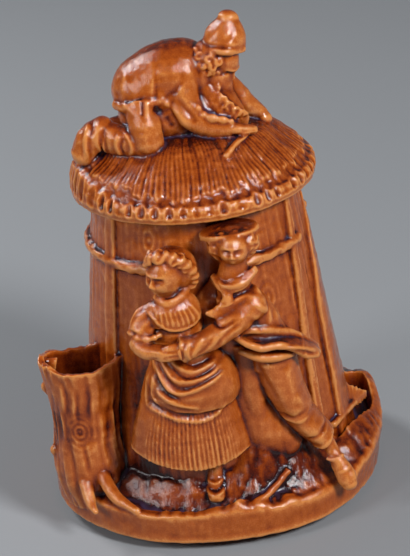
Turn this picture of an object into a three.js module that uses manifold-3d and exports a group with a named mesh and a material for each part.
// A tobacco jar in brown glazed stoneware, made as two loose pieces.
// The jar is a round hut on a low drum of ground. A courting couple in high relief, a hollow
// tree stump and a rocky pit are pressed in one with it. The lid is the hut's thatched roof,
// pressed in one with a man who crouches on the straw and looks down over the eaves.
// Millimetres, +Z up. The couple faces -Y, and the origin is the middle of the flat underside.

import * as THREE from "three";
import { mergeVertices } from "three/addons/utils/BufferGeometryUtils.js";
import Module from "manifold-3d";

// Driving dimensions
const BASE_RADIUS = 80;
const SEAT_HEIGHT = 146; // where the jar's rim ends and the lid begins
const RIM_RADIUS = 47.6; // outside of the hut's wall at the seat
const WALL_TAPER = 0.128; // how much the wall's radius grows for each millimetre further down
const WALL_THICKNESS = 5.8;
const FLOOR_THICKNESS = 9;
const EAVES_RADIUS = 57.6;
const EAVES_HEIGHT = 148.3; // lowest edge of the thatch
const ROOF_TOP = 178.5;
const ROOF_THICKNESS = 7;
const RAIL_HEIGHT = 123; // the log that runs round the hut
const JOINT_GAP = 0.3; // clearance between the lid and the rim it rests on

const GLAZE = { color: 0xa0521d, roughness: 0.22, metalness: 0 };

const wasm = await Module();
wasm.setup();

const DEGREE = Math.PI / 180;
const vector = (point) => new THREE.Vector3(...point);
const mix = (a, b, share) => a + (b - a) * share;
const wallRadius = (z) => RIM_RADIUS + WALL_TAPER * (SEAT_HEIGHT - z);

// A point at a bearing round the jar. Bearings are in degrees from +X, so the front is at -90.
const polar = (bearing, radius, z) =>
  new THREE.Vector3(radius * Math.cos(bearing * DEGREE), radius * Math.sin(bearing * DEGREE), z);

// A size that changes with the bearing, eased between [bearing, size] stops from -180 to 180.
function around(stops) {
  return (bearing) => {
    const turned = THREE.MathUtils.euclideanModulo(bearing + 180, 360) - 180;
    const next = stops.findIndex(([stop]) => stop > turned);
    if (next < 0) return stops[stops.length - 1][1];
    const [[from, low], [to, high]] = [stops[next - 1], stops[next]];
    return mix(low, high, THREE.MathUtils.smoothstep(turned, from, to));
  };
}

// A closed skin over rings of points. All rings have the same number of points, and a fan closes
// each end at a tip, or at the middle of the last ring where no tip is given.
function skin(rings, tips = []) {
  const sides = rings[0].length;
  const points = rings.flat();
  const index = [];
  for (let ring = 0; ring + 1 < rings.length; ring++)
    for (let side = 0; side < sides; side++) {
      const next = (side + 1) % sides;
      const [a, b] = [ring * sides + side, ring * sides + next];
      index.push(a, b, a + sides, b, b + sides, a + sides);
    }
  [0, rings.length - 1].forEach((ring, end) => {
    const total = rings[ring].reduce((sum, p) => sum.add(p), new THREE.Vector3());
    const tip = points.push(tips[end] ?? total.divideScalar(sides)) - 1;
    for (let side = 0; side < sides; side++) {
      const edge = [ring * sides + side, ring * sides + ((side + 1) % sides)];
      index.push(tip, ...(end ? edge : edge.reverse()));
    }
  });
  const geometry = new THREE.BufferGeometry().setFromPoints(points);
  geometry.setIndex(index);
  return geometry;
}

// A closed geometry as a manifold-3d solid, its faces turned outwards.
function solid(geometry) {
  const bare = new THREE.BufferGeometry();
  bare.setAttribute("position", geometry.getAttribute("position").clone());
  bare.setIndex(geometry.getIndex());
  const { attributes, index } = mergeVertices(bare, 1e-4);
  const triVerts = new Uint32Array(index.array);
  const build = () =>
    new wasm.Manifold(
      new wasm.Mesh({ numProp: 3, vertProperties: attributes.position.array, triVerts }),
    );
  const made = build();
  if (made.volume() > 0) return made;
  triVerts.reverse();
  return build();
}

const fused = (...solids) => solids.flat(4).reduce((sum, next) => sum.add(next));
const without = (body, ...tools) => tools.flat(2).reduce((rest, tool) => rest.subtract(tool), body);

// An oval section carried along a smooth curve through the points. `radii` holds the half-width and
// half-depth at each point, and `front` is the way the depth runs. `start` and `end` say how far
// each end is rounded, as a share of the section's size, and an end that lies inside another body
// is cut flat with 0. `relief` adds a height to the surface.
function limb(points, radii, options = {}) {
  const { front = [0, -1, 0], sides = 6, steps = 2, start = 0, end = 0.9, relief = () => 0 } = options;
  const path = new THREE.CatmullRomCurve3(points.map(vector), false, "catmullrom", 0.5);
  const size = new THREE.CatmullRomCurve3(
    radii.map(([a, b]) => new THREE.Vector3(a, b, 0)), false, "catmullrom", 0.5,
  );
  const beyond = (t, out) => {
    const { x: a, y: b } = size.getPoint(t);
    return path.getPoint(t).addScaledVector(path.getTangent(t), out * Math.min(a, b));
  };
  const ring = (t, out = 0, scale = 1) => {
    const { x: a, y: b } = size.getPoint(t);
    const across = new THREE.Vector3().crossVectors(path.getTangent(t), vector(front)).normalize();
    const deep = new THREE.Vector3().crossVectors(across, path.getTangent(t)).normalize();
    return Array.from({ length: sides }, (_, side) => {
      const angle = (side / sides) * 2 * Math.PI;
      const raise = relief(angle, t);
      return beyond(t, out)
        .addScaledVector(across, Math.cos(angle) * scale * (a + raise))
        .addScaledVector(deep, Math.sin(angle) * scale * (b + raise));
    });
  };
  const rings = Array.from({ length: steps + 1 }, (_, step) => ring(step / steps));
  if (start > 0) rings.unshift(ring(0, -0.72 * start, 0.7));
  if (end > 0) rings.push(ring(1, 0.72 * end, 0.7));
  return solid(skin(rings, [beyond(0, -start), beyond(1, end)]));
}

// A geometry turned by [pitch, roll, yaw] degrees about X, Y and Z and moved to its centre.
function placed(geometry, centre, [pitch, roll, yaw]) {
  geometry.rotateX(pitch * DEGREE).rotateY(roll * DEGREE).rotateZ(yaw * DEGREE);
  return solid(geometry.translate(...centre));
}

function ball(centre, radii, turns = [0, 0, 0], sides = 6, rings = 5) {
  const geometry = new THREE.SphereGeometry(1, sides, rings).rotateX(Math.PI / 2);
  return placed(geometry.scale(...radii), centre, turns);
}

const block = (centre, size, turns = [0, 0, 0]) => placed(new THREE.BoxGeometry(...size), centre, turns);

// A body of revolution about +Z from a profile of [radius, height] that starts and ends on the axis.
function revolved(profile, sides) {
  const points = profile.map(([radius, z]) => new THREE.Vector2(radius, z));
  return solid(new THREE.LatheGeometry(points, sides).rotateX(Math.PI / 2));
}

// The drum of ground. It is a little out of round, its lip rises to a bank beside the pit, and
// a hollow where the couple stands lies between the lip and the ground banked against the hut.
const drumRadius = around([
  [-180, 80.6], [-150, 82], [-120, 82], [-90, 81], [-60, 80.9], [-45, 79.8], [-30, 78.6],
  [-15, 77.8], [0, 78.2], [40, 79], [90, BASE_RADIUS], [150, 80.4], [180.1, 80.6],
]);
const footInset = around([[-180, 0], [-60, 0], [-25, 2], [0, 3], [40, 2], [90, 0], [180.1, 0]]);
const lipRadius = around([
  [-180, 79.5], [-150, 80.6], [-90, 79.5], [-60, 79.5], [-30, 77.2], [0, 78.2], [8, 78.6],
  [14, 76], [22, 72], [32, 72], [50, 74], [75, 78], [180.1, 79.5],
]);
const lipHeight = around([
  [-180, 21], [-165, 20], [-148, 16], [-120, 15], [-90, 16.3], [-60, 13.5], [-42, 13], [-34, 16],
  [-22, 17.5], [-9, 18], [0, 21.5], [6, 27], [11, 31], [16, 30.5], [22, 25], [48, 22], [75, 21],
  [110, 19], [150, 19], [180.1, 21],
]);
const bankHeight = around([
  [-180, 26], [-150, 30], [-135, 27], [-118, 26], [-104, 27], [-94, 24], [-88, 30], [-76, 46], [-64, 50],
  [-54, 42], [-46, 30], [-38, 30], [-28, 36], [-10, 42], [4, 46], [16, 32], [24, 29], [50, 27],
  [90, 25], [150, 25], [180.1, 26],
]);
const hollowDepth = around([[-180, 0], [-140, 0], [-122, 5], [-90, 7], [-72, 5], [-58, 0], [180.1, 0]]);
const pitRim = around([[-180, 0], [-52, 0], [-36, 1.8], [-8, 2], [3, 1.5], [12, 0], [180.1, 0]]);
const RIDGE = { from: [4, -77, 0], to: [41, -47, 0], height: 4, width: 2.2 };

// The height of the ground at a share of the way in from the lip to the hut.
function groundHeight(bearing, share) {
  const spot = polar(bearing, mix(lipRadius(bearing), 60, share), 0);
  const ridge = new THREE.Line3(vector(RIDGE.from), vector(RIDGE.to));
  const away = ridge.closestPointToPoint(spot, true, new THREE.Vector3()).distanceTo(spot);
  return (
    mix(lipHeight(bearing), bankHeight(bearing), share ** 1.3) -
    hollowDepth(bearing) * Math.sin(Math.PI * Math.min(1, share * 1.3)) ** 2 +
    pitRim(bearing) * Math.sin(Math.PI * Math.min(1, share / 0.8)) +
    RIDGE.height * Math.exp(-((away / RIDGE.width) ** 2)) * (1 - share)
  );
}

function ground() {
  const bearings = Array.from({ length: 36 }, (_, k) => k * 10 - 180);
  const ring = (radius, height) => bearings.map((b) => polar(b, radius(b), height(b)));
  const chamfer = 1.2;
  return solid(skin([
    ring((b) => drumRadius(b) - footInset(b) - chamfer, () => 0),
    ring((b) => drumRadius(b) - footInset(b), () => chamfer),
    ring(drumRadius, (b) => Math.min(lipHeight(b) - 2.5, 18)),
    ...[0, 0.28, 0.62, 1].map((share) =>
      ring((b) => mix(lipRadius(b), 60, share), (b) => groundHeight(b, share))),
  ]));
}

// The hut's round wall, with a log rail and a few upright posts that stand out of it.
const hutWall = () =>
  revolved([[0, 5], [wallRadius(5), 5], [RIM_RADIUS, SEAT_HEIGHT], [0, SEAT_HEIGHT]], 36);

// Timber bent to the wall. At each [from, to, z, proud, fade] it spans two bearings, and stands
// `proud` of the wall at the first and `fade` times that at the second.
function timber(stations) {
  const shares = [0, 0.5, 1];
  return solid(skin(stations.map(([from, to, z, proud, fade = 1]) => {
    const outside = shares.map((s) =>
      polar(mix(from, to, s), wallRadius(z) + proud * mix(1, fade, s), z));
    const inside = shares.map((s) => polar(mix(to, from, s), wallRadius(z) - 3, z));
    return [...outside, ...inside];
  })));
}

const POST = { bearings: [-144, 135, 75], halfWidth: 4, proud: 2 };
const posts = () => POST.bearings.map((bearing) => {
  const [from, to] = [bearing - POST.halfWidth, bearing + POST.halfWidth];
  return timber([[from, to, 12, POST.proud], [from, to, SEAT_HEIGHT - 0.6, POST.proud]]);
});

const RAIL = { lengths: [{ from: 14, to: 242 }, { from: -74, to: -30 }, { from: -122, to: -108 }], radius: 2.7, spacing: 22 };
const rail = () => RAIL.lengths.map(({ from, to }) => {
  const gaps = Math.round((to - from) / RAIL.spacing);
  const bearings = Array.from({ length: gaps + 1 }, (_, k) => mix(from, to, k / gaps));
  return limb(
    bearings.map((bearing) => polar(bearing, wallRadius(RAIL_HEIGHT), RAIL_HEIGHT).toArray()),
    bearings.map((_, k) => [RAIL.radius + 0.3 * (k % 2), RAIL.radius]),
    { front: [0, 0, 1], sides: 5, steps: gaps, start: 0.9 },
  );
});

// The board that leans against the right of the hut, and a post beside it.
const leaningBoard = () => [
  timber([[-30.6, 0, 14, 3.6, 0.1], [-24.5, 0, 90, 2.8, 0], [-9, 0, 138, 0.8, 0]]),
  timber([[-46, -41, 14, 2.4], [-43, -38, 80, 2.4], [-35, -30.5, SEAT_HEIGHT - 0.6, 1.6]]),
];

// The hollow tree stump, with knots and roots and an uneven rim.
const STUMP = { rim: [-60.6, -34.5, 79], wall: 4, bore: 44 };
function stump() {
  const bark = limb(
    [[-59.6, -35.6, 8], [-60.8, -36, 25], [-60.6, -35, 44], [-60.5, -34.6, 60], STUMP.rim],
    [[14, 15], [17.2, 17], [16, 16], [16.6, 16.4], [20.2, 18.6]],
    {
      sides: 16, steps: 4, end: 0,
      relief: (angle) => 0.7 * Math.cos(8 * angle) + 0.4 * Math.cos(3 * angle + 1),
    },
  );
  const grown = [
    [[[-72, -35, 61], [-78, -35, 66.5]], [[4.4, 4], [2.6, 2.4]]],
    [[[-72, -36, 29], [-77.4, -37, 34.6]], [[4.6, 4.2], [2.8, 2.6]]],
    [[[-72, -33, 76], [-80, -33.5, 78]], [[3.2, 2.4], [2, 1.6]]],
    [[[-57, -50, 26], [-51, -60, 18], [-42, -69, 14.5]], [[3.4, 3.4], [3, 3], [1.8, 1.8]]],
    [[[-65, -50, 24], [-63, -58, 15.5]], [[3.4, 3.4], [2, 2]]],
  ].map(([points, radii]) => limb(points, radii, { sides: 5, steps: points.length - 1 }));
  return [bark, grown];
}

// The bore is drawn past the rim, and three blocks take the rim down unevenly.
function stumpBore() {
  const [x, y, z] = STUMP.rim;
  return limb(
    [[x, y, z - STUMP.bore], [x, y, z - STUMP.bore / 2], [x, y, z + 4]],
    [[12, 12], [13, 12.6], [16.6, 15.6]], { sides: 12, start: 0.3, end: 0 },
  );
}
const rimNotches = () => [
  block([-56, -53, 80], [12, 12, 3.2], [10, 6, 12]),
  block([-72, -48, 81], [9, 9, 3.4], [8, -10, -30]),
  block([-58, -14, 80.4], [50, 20, 6], [-10, 2, 6]),
];

// The rocky pit beside the board.
const pit = () =>
  limb(
    [[53.5, -34, 27], [60.6, -21, 27], [67, -4, 28], [66.6, 9, 32]],
    [[3.2, 10], [4.2, 13], [6, 14], [4.6, 10]],
    { front: [0, 0, 1], sides: 10, steps: 4, start: 0.7, end: 0.7 },
  );

// A broom of twigs that leans in the pit with its head up, and a short bar beside its handle.
function broom() {
  const bunches = 5;
  const edge = (from, to, thickness) => {
    const along = Array.from({ length: 2 * bunches + 1 }, (_, k) => k / (2 * bunches));
    const point = (s, raised) => vector(from).lerp(vector(to), s).add(new THREE.Vector3(0, 0, raised));
    const above = along.map((s, k) => point(s, thickness * (k % 2 ? 1 : 0.5)));
    return [...above, point(1, -2.4), point(0, -2.4)];
  };
  const tied = edge([62.4, -15, 32.4], [66.2, -11, 28.6], 1.2);
  const spread = edge([57, -13, 41.4], [72, -3, 28.8], 2.1);
  const head = solid(skin([tied, spread]));
  const handle = limb([[64.8, -14, 30.4], [58.6, -26, 31.4], [52.9, -37, 31.6]],
    [[1.8, 1.8], [1.6, 1.6], [1.8, 1.8]], { front: [0, 0, 1], sides: 5, steps: 2 });
  const bar = limb([[57.6, -22, 33.6], [53, -30, 32.8]], [[1.7, 1.7], [1.7, 1.7]],
    { front: [0, 0, 1], sides: 5, steps: 1 });
  return [head, handle, bar];
}

// A stick on the ground in front of the couple.
const stick = () =>
  limb([[29, -64.5, 25.1], [21.3, -69.8, 19.3], [13.4, -75.6, 16.4], [8.5, -77.6, 16]],
    [[1.8, 1.8], [1.7, 1.7], [1.6, 1.6], [1.2, 1.2]], { front: [0, 0, 1], sides: 5, steps: 3 });

// The woman, in a gathered cap, a neckband over a pleated yoke, and a swagged apron over a pleated
// skirt. The skirt's hem rises to both sides.
const PLEATS = 10;
function skirt() {
  const pleated = limb(
    [[-14, -57, 27], [-14, -57.3, 45], [-13.4, -57.5, 62], [-13.6, -57.5, 78], [-15, -58, 93]],
    [[27, 17.6], [26.2, 17], [22.2, 15.8], [17.5, 12.5], [10, 8.5]],
    { sides: 2 * PLEATS, end: 0, relief: (angle, t) => 0.7 * (1 - t) * Math.cos(PLEATS * angle) },
  );
  const hemHeight = (x) => 35.2 + 5.5 * ((x + 12) / 27) ** 2 - 0.05 * (x + 12);
  const belowHem = solid(skin([-46, -30, -14, 2, 18].map((x) =>
    [[-90, 10], [-90, hemHeight(x)], [-30, hemHeight(x)], [-30, 10]].map(([y, z]) => vector([x, y, z])))));
  return without(pleated, belowHem);
}

function woman() {
  const swags = (angle, t) =>
    1.2 * Math.cos(2 * Math.PI * (1.9 * t + 0.35 * Math.cos(angle + 0.4))) * Math.sin(Math.PI * t) ** 0.5;
  const apron = limb(
    [[-14.5, -61, 92], [-12.5, -60.5, 82], [-10.2, -60, 73], [-10, -60, 65]],
    [[9, 7], [18, 13.5], [21.2, 16.5], [20.2, 15.4]],
    { sides: 10, steps: 6, end: 0.25, relief: swags },
  );
  const bodice = limb([[-15, -59, 91], [-15.5, -60, 99], [-15.5, -60.5, 108], [-15.3, -60.5, 114]],
    [[10, 8], [12.4, 9], [12.4, 8.6], [9, 7]], { sides: 7 });
  const yoke = limb([[-15.5, -61, 118.5], [-15.2, -61.5, 114.5], [-15.6, -62, 109], [-16, -62, 104.4]],
    [[5.6, 5.4], [11, 7.8], [12.6, 9.6], [11.4, 9.4]],
    { sides: 10, steps: 3, end: 0.12 });
  const neck = limb([[-16, -60.5, 112], [-16.5, -61.5, 121]], [[6, 6], [5.4, 5.4]], { steps: 1 });
  const neckband = limb([[-22, -63.5, 118.4], [-15.6, -68.4, 116.2], [-8.6, -62.5, 119.6]],
    [[1.9, 1.3], [2.3, 1.4], [1.9, 1.3]], { sides: 5, start: 0.9 });
  const shoe = limb(
    [[-4, -60.5, 29], [-4.3, -63.6, 23.8], [-4.8, -66.6, 20.4], [-5.1, -70.6, 17.8]],
    [[3.6, 3.6], [3.8, 3.6], [4.3, 3.4], [3.6, 2.4]], { front: [0, 0, 1], steps: 3 });
  return [skirt(), apron, bodice, yoke, neck, neckband, shoe, womanHead(), womanArms()];
}

function womanHead() {
  const [x, y, z] = [-17.2, -63.6, 128.6];
  const crown = ball([x + 4.2, y + 5.6, z + 0.4], [10.8, 9.4, 9.6], [0, 14, -12], 8, 6);
  const bonnet = limb(
    [[-24.4, -63.6, 136.4], [-20.6, -67, 138.6], [-14.4, -67.4, 138.2], [-8.6, -65.4, 133.6],
      [-5.2, -62, 126.8], [-5.6, -60.4, 121]],
    [[2.2, 2.5], [2.8, 3], [3, 3.1], [3.2, 3.1], [3.2, 3.1], [2.5, 2.6]],
    { sides: 5, steps: 4, start: 0.9 },
  );
  const face = ball([x, y, z], [8, 8.6, 9.8], [4, 4, -44], 9, 6);
  const nose = limb([[x - 5.2, y - 5.4, z + 1.2], [x - 6, y - 6.4, z - 2]], [[0.9, 1], [1.4, 1.4]],
    { front: [-0.7, -0.7, 0], sides: 5, steps: 1 });
  return [crown, bonnet, face, nose];
}

function womanArms() {
  const sleeve = limb([[-22, -60, 109.4], [-27.5, -62.5, 106], [-31.2, -65.4, 101.4]],
    [[6, 5.4], [6.8, 6], [5.8, 5.6]], { start: 0.9, end: 0.2 });
  const forearm = limb([[-32.4, -67, 98], [-29, -71, 95.6], [-23, -73, 95.6]],
    [[4.4, 4.2], [4, 3.8], [3.6, 3.4]], { front: [0, 0, 1], start: 0.9 });
  const hand = ball([-20.5, -74, 95.5], [4.6, 3.6, 3.2], [0, -10, 10], 6, 4);
  return [sleeve, forearm, hand];
}

// The man, who leans in from the right, his arm across her waist and one leg stretched behind him.
function man() {
  const torso = limb(
    [[27, -55.5, 78], [24.5, -57, 90], [17, -58, 103], [12.5, -58, 113]],
    [[12, 10.5], [10.5, 9.5], [12.5, 9.5], [9, 7.5]], { sides: 8, steps: 3, end: 0.5 },
  );
  const backing = limb([[-3, -52, 88], [-1, -52.6, 98], [3, -53, 107], [8, -53, 115]],
    [[8, 8], [8, 6], [8, 5], [7, 5]]);
  const neck = limb([[12.6, -58, 112], [13, -59.5, 121], [13.8, -60, 130]],
    [[7.8, 7.2], [7.6, 7.2], [6, 6]]);
  const kerchief = limb([[4.6, -58.6, 122], [8.6, -65.2, 120], [15.4, -66.4, 121.4], [22.4, -60.6, 125]],
    [[2.2, 2], [2.7, 2.3], [2.8, 2.4], [2.2, 2]], { sides: 5, steps: 3, start: 0.9 });
  const knotEnd = limb([[8.6, -65.6, 119.6], [9.4, -67.8, 115.6], [6.6, -67.6, 111.6]],
    [[2, 1.7], [2.6, 1.8], [2.2, 1]], { sides: 5, start: 0.9 });
  const lapel = limb([[22.4, -61.5, 111], [14, -64.6, 110], [5, -67, 108.4], [-0.4, -68.4, 109.6]],
    [[7, 5.4], [6.2, 4.8], [4, 3.4], [0.8, 1.2]], { steps: 3, start: 0.5 });
  return [torso, backing, neck, kerchief, knotEnd, lapel, manHead(), manArm(), jacketTail(), manLegs()];
}

function manHead() {
  const [x, y, z] = [14.2, -61.5, 136.8];
  const hair = ball([x + 0.2, y + 4.6, z + 0.6], [11.4, 8.8, 8.6], [0, 0, 0], 8, 5);
  const face = ball([x, y, z], [6.8, 7.3, 7.8], [0, 2, -8], 9, 6);
  const nose = limb([[x - 0.8, y - 6.4, z + 1], [x - 1, y - 7.4, z - 1.8]], [[0.9, 1], [1.3, 1.3]],
    { sides: 5, steps: 1 });
  const cap = ball([13.2, -54.8, 142.2], [13.6, 8.8, 3.2], [6, -5, 0], 10, 4);
  const brim = limb([[0.6, -57, 140.6], [6.6, -62.2, 142.4], [14.8, -63.6, 143.2], [22, -61, 143.4],
    [26, -56, 143]], [[0.9, 0.9], [1.1, 1], [1.1, 1], [1.1, 1], [0.9, 0.9]],
  { sides: 5, steps: 4, start: 0.9 });
  return [hair, face, nose, cap, brim];
}

function manArm() {
  const front = [0, -0.6, 0.8];
  const sleeve = limb([[20.5, -63.5, 110], [12, -67.6, 104.6], [2, -71.4, 99.4], [-6, -73, 97.2]],
    [[7, 6.4], [6.4, 6.2], [5.5, 5.4], [5, 5]], { front, sides: 7, steps: 3, start: 0.9, end: 0 });
  const cuff = limb([[-4, -72.8, 97.6], [-9, -73.6, 96.6], [-13, -74, 96.2]],
    [[5, 4.8], [5.2, 5], [5.6, 5.2]], { front, sides: 6, steps: 1, start: 0.5, end: 0.15 });
  const hand = limb([[-12.4, -74, 96], [-17, -75.5, 95.8], [-22.5, -75, 94.8]],
    [[3.8, 3.2], [4, 2.8], [3, 2.2]]);
  return [sleeve, cuff, hand];
}

// The skirt of his jacket, blown out behind him like a shelf with two rolled edges.
function jacketTail() {
  const shelf = limb(
    [[13, -62, 94.5], [22, -61, 92], [31, -58.5, 90.4], [39, -54, 85.6], [45.6, -50, 79.6]],
    [[4.5, 2], [11, 2.2], [13.5, 2.4], [12, 2.4], [8, 2.2]], { front: [0.25, 0, 1], steps: 4, end: 0.5 },
  );
  const lowerRoll = limb(
    [[10.8, -68.5, 97], [16, -71.5, 94], [22.4, -72.4, 91.6], [29.6, -71, 91.4], [36, -68, 88],
      [42, -63.6, 81.6], [47, -59.5, 79.5]],
    [[1.5, 1.5], [1.7, 1.7], [1.8, 1.8], [1.8, 1.8], [1.8, 1.8], [1.7, 1.7], [1.6, 1.6]],
    { front: [0, 0, 1], sides: 5, steps: 4, start: 0.9 },
  );
  const upperRoll = limb(
    [[12, -68, 98.4], [20, -67.6, 98.6], [28, -65, 96.4], [36, -60, 92], [43, -54.6, 85], [48, -50, 79.4]],
    [[1.3, 1.5], [1.7, 1.9], [1.9, 2], [1.8, 2], [1.7, 1.8], [1.2, 1.4]],
    { front: [0, 0, 1], sides: 4, steps: 4, start: 0.9 },
  );
  const shirt = limb([[12, -65, 88.6], [19, -66.4, 86], [27, -66, 84.4], [35, -62, 83.6]],
    [[1.6, 2.4], [2.6, 4], [3, 4.6], [2.2, 3.6]]);
  return [shelf, lowerRoll, upperRoll, shirt];
}

function manLegs() {
  const thigh = limb([[27, -55, 80], [30.5, -56, 66], [35, -55.5, 54]],
    [[11, 12], [9.4, 12.4], [8.2, 12.6]], { sides: 8 });
  const calf = limb([[34, -55.5, 54.5], [40.5, -54.5, 44], [47.2, -54, 35.8]],
    [[7.6, 12], [6.8, 12], [5.8, 10.6]], { sides: 7, end: 0.2 });
  const shoe = limb(
    [[48.6, -58.6, 34], [50.6, -60, 29.4], [53, -62.4, 23.4], [55.4, -64.6, 18], [56.6, -66, 15]],
    [[3.2, 3.4], [3, 3.2], [4, 3.8], [4.6, 3.8], [3.6, 3]], { steps: 3, start: 0.9 },
  );
  const farLeg = limb(
    [[8, -52.4, 100], [10, -52.8, 80], [14, -54.4, 60], [20, -56, 42], [26, -56.6, 32]],
    [[9, 8], [10, 8.4], [10, 8], [11, 7.6], [10, 6]], { steps: 3, end: 0 },
  );
  return [thigh, calf, shoe, farLeg];
}

// The room for the tobacco, taken out of everything above so that the bore is clean.
function tobaccoRoom() {
  const corner = 5;
  const radiusAt = (z) => wallRadius(z) - WALL_THICKNESS;
  return revolved([
    [0, FLOOR_THICKNESS],
    [radiusAt(FLOOR_THICKNESS) - corner, FLOOR_THICKNESS],
    [radiusAt(FLOOR_THICKNESS + corner), FLOOR_THICKNESS + corner],
    [radiusAt(SEAT_HEIGHT + 1), SEAT_HEIGHT + 1], [0, SEAT_HEIGHT + 1],
  ], 24);
}

function jar() {
  const land = without(ground(), pit());
  const trunk = without(fused(stump()), stumpBore(), rimNotches());
  const hut = fused(hutWall(), posts(), rail(), leaningBoard());
  const whole = fused(land, stick(), hut, broom(), trunk, woman(), man());
  const above = block([0, 0, SEAT_HEIGHT + 20], [300, 300, 40]);
  const below = block([0, 0, -20], [300, 300, 40]);
  return without(whole, above, below, tobaccoRoom(), stumpBore());
}

// The thatch: straw that runs down to a ragged end over a thick rolled edge, and is heaped up
// higher under the crouching man's feet.
const STRAWS = 22;
const HEAP = { bearing: -167, spread: 28, height: 8 };
const THATCH = [[12, 178], [33, 174.6], [44.6, 165.4], [53.4, 157.2]];
const ROLLED_EDGE = [[53.4, 155], [EAVES_RADIUS - 0.8, 153.4], [EAVES_RADIUS - 1, EAVES_HEIGHT]];

function thatch() {
  const bearings = Array.from({ length: 2 * STRAWS }, (_, k) => (k * 180) / STRAWS - 180);
  const ragged = (k) => 0.7 * Math.sin(k * 1.7) + 0.5 * Math.sin(k * 0.6);
  const heap = (bearing, share) =>
    HEAP.height * share * Math.exp(-(((bearing - HEAP.bearing) / HEAP.spread) ** 2));
  const straw = THATCH.map(([radius, z], row) => bearings.map((bearing, k) => {
    const share = row / (THATCH.length - 1);
    const end = share === 1 ? ragged(k) : 0;
    const groove = 0.7 * share * (k % 2 ? 1 : -1);
    return polar(bearing, radius + end, z - end + groove + heap(bearing, share ** 2));
  }));
  const edge = ROLLED_EDGE.map(([radius, z], row) => bearings.map((bearing, k) =>
    polar(bearing, radius + 0.3 * (k % 4 < 2 ? 1 : -1), z + heap(bearing, [0.75, 0.1, 0][row]))));
  const under = bearings.map((bearing) => polar(bearing, 49, SEAT_HEIGHT + JOINT_GAP));
  return solid(skin([...straw, ...edge, under]));
}

function lidFlange() {
  const outer = RIM_RADIUS - WALL_THICKNESS - 0.9;
  const low = SEAT_HEIGHT - 6.5;
  const inRoof = SEAT_HEIGHT + 4;
  return revolved([[0, low], [outer - 0.8, low], [outer, low + 1], [outer, inRoof], [0, inRoof]], 24);
}

function roofHollow() {
  const inner = RIM_RADIUS - WALL_THICKNESS - 4.9;
  return revolved([
    [0, SEAT_HEIGHT - 10], [inner, SEAT_HEIGHT - 10], [inner, SEAT_HEIGHT + 6],
    [30, 164], [18, 169.5], [0, ROOF_TOP - ROOF_THICKNESS],
  ], 24);
}

// The man on the roof, crouching with his head over the edge, in a pointed cap and a smooth coat.
function crouchingMan() {
  const back = limb(
    [[-16, -6, 194.5], [-9, -6, 198.6], [0, -6.5, 201], [8, -7, 200.6]],
    [[17.5, 17], [18, 17], [16.5, 16.4], [12, 13.4]],
    { front: [0, 0, 1], sides: 10, steps: 4, start: 0.98, end: 0.6 },
  );
  const belly = limb([[-19, -7, 185], [-8, -8, 184], [7, -8, 185]], [[15, 13], [16, 13], [14.5, 14]],
    { front: [0, 0, 1], sides: 8, start: 0.9 });
  const flap = ball([-5, -18.6, 184.4], [5.6, 5.2, 9.4], [0, -32, 0], 7, 5);
  const hip = ball([-12, -15.6, 186.6], [7, 6.4, 8.4]);
  const hem = limb([[-31, -13, 191.6], [-26, -20.4, 192], [-19, -23, 193.5], [-12, -22, 195]],
    [[2, 2.4], [2.4, 2.8], [2.6, 3], [2.4, 3]], { front: [0, 0, 1], sides: 5, steps: 4, start: 0.9 });
  return [back, belly, flap, hip, hem, roofHead(), roofArms(), roofLegs()];
}

function roofHead() {
  const [x, y, z] = [16.8, -8.4, 206];
  const face = ball([x + 0.8, y, z - 0.2], [8, 8.6, 9.8], [22, 0, 58], 9, 6);
  const nose = limb([[x + 7.6, y - 4.4, z - 2.2], [x + 7.2, y - 4.4, z - 5.4]], [[0.9, 1], [1.4, 1.4]],
    { front: [0.85, -0.5, 0], sides: 5, steps: 1 });
  const hair = ball([x - 4.8, y - 1.4, z + 2.6], [8.2, 8.8, 8.8], [0, 0, 0], 8, 5);
  const cap = limb([[x + 2.8, y, z + 6], [x + 4.8, y, z + 13.4], [x + 6.2, y, z + 19.4]],
    [[10, 9.6], [8.8, 8.2], [5, 4.6]], { sides: 9, end: 0.8 });
  const brim = limb([[x - 7.6, y - 3.4, z + 8.2], [x + 2.6, y - 9.4, z + 7], [x + 11.2, y - 3, z + 5.2]],
    [[1.5, 1.5], [1.7, 1.7], [1.6, 1.6]], { sides: 5, steps: 3, start: 0.9 });
  const throat = limb([[x - 2, y - 2, z - 4], [x - 4, y - 1, z - 20]], [[7.4, 7], [10, 9]],
    { steps: 1, end: 0 });
  return [face, nose, hair, cap, brim, throat];
}

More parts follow.
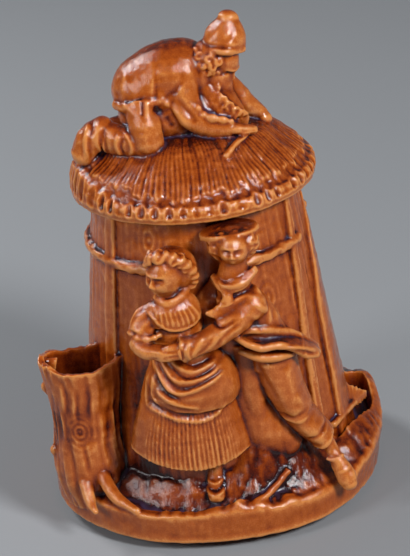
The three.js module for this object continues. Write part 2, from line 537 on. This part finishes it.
function roofArms() {
  const chest = limb([[9, -9, 195], [17, -12, 186], [24, -13, 178.6]], [[10, 9], [9, 7.6], [5, 4.4]],
    { front: [0.5, 0, 1], sides: 7, steps: 3 });
  const near = limb(
    [[0, -14.5, 204], [-0.5, -18, 194.5], [2.4, -20.4, 186], [10, -22.6, 180.8], [18, -23.6, 179.4]],
    [[8, 7.4], [7.4, 7], [7, 6.4], [5.4, 5], [4.2, 3.6]],
    { front: [0.5, -1, 0.3], steps: 5, start: 0.9 },
  );
  const nearHand = limb([[19, -23.8, 179], [25, -23.6, 177.6], [29.6, -22.8, 176.4]],
    [[3.4, 2.8], [3.8, 2.6], [2.8, 2]], { front: [0, 0, 1] });
  const ruffle = limb(
    [[5, -23.6, 191], [6.6, -24.4, 187.6], [10.4, -26, 185.6], [15.4, -26, 184], [19.6, -25.4, 182.4]],
    [[1.3, 1.3], [1.7, 1.6], [1.8, 1.7], [1.6, 1.5], [1.2, 1.2]], { sides: 5, steps: 4, start: 0.9 },
  );
  const far = limb([[13, -2, 197], [20.6, -2, 189.4], [28, -2, 181.4], [34, -1.6, 176.2]],
    [[8.4, 7.4], [6.8, 6.2], [5.2, 4.8], [3.8, 3.2]], { front: [0.4, 0, 1], steps: 3 });
  const farHand = ball([35.4, -2.4, 174.6], [4, 3.8, 2.8], [0, 36, 0], 6, 4);
  const twig = limb([[25.5, -25, 175.6], [20, -31, 173.6], [15.4, -36, 170.6]],
    [[1.7, 1.3], [1.5, 1.2], [1.7, 1.3]], { front: [0, 0, 1], sides: 4 });
  return [chest, near, nearHand, ruffle, far, farHand, twig];
}

function roofLegs() {
  const thigh = limb([[-20, -18, 192], [-19, -24.6, 184], [-18.4, -26.6, 177.6]],
    [[8, 8], [7.2, 7.4], [7.2, 7]], { sides: 7 });
  const calf = limb([[-20, -25.4, 176.8], [-28, -21.8, 177.2], [-36, -18, 178.4]],
    [[6.8, 6.8], [6.8, 6.8], [6.6, 7.4]], { front: [0, 0, 1], sides: 7, start: 0.9, end: 0.2 });
  const boot = limb([[-37.4, -15.6, 182.6], [-44, -15.6, 177.6], [-48.6, -15.8, 171]],
    [[7, 5.6], [7.6, 6.8], [6.8, 5.4]], { front: [-1, 0, 0], sides: 7, start: 0.8 });
  const farThigh = limb([[-20, 6, 190], [-17, 9, 174]], [[8, 8], [6.4, 6]], { sides: 6, steps: 1 });
  const farCalf = limb([[-18, 6, 176.4], [-36, 0, 174.4]], [[6.6, 6.4], [5.8, 6]],
    { front: [0, 0, 1], sides: 6, steps: 1 });
  return [thigh, calf, boot, farThigh, farCalf];
}

const lid = () => without(fused(thatch(), lidFlange(), crouchingMan()), roofHollow());

// A finished solid as a named three.js mesh.
function piece(name, body) {
  const { numProp, vertProperties, triVerts } = body.getMesh();
  const geometry = new THREE.BufferGeometry();
  geometry.setAttribute("position", new THREE.BufferAttribute(vertProperties, numProp));
  geometry.setIndex(new THREE.BufferAttribute(triVerts, 1));
  geometry.computeVertexNormals();
  const mesh = new THREE.Mesh(geometry, new THREE.MeshStandardMaterial(GLAZE));
  mesh.name = name;
  return mesh;
}

const tobaccoJar = new THREE.Group();
tobaccoJar.name = "figural_tobacco_jar";
tobaccoJar.add(piece("jar", jar()), piece("lid", lid()));

export default tobaccoJar;
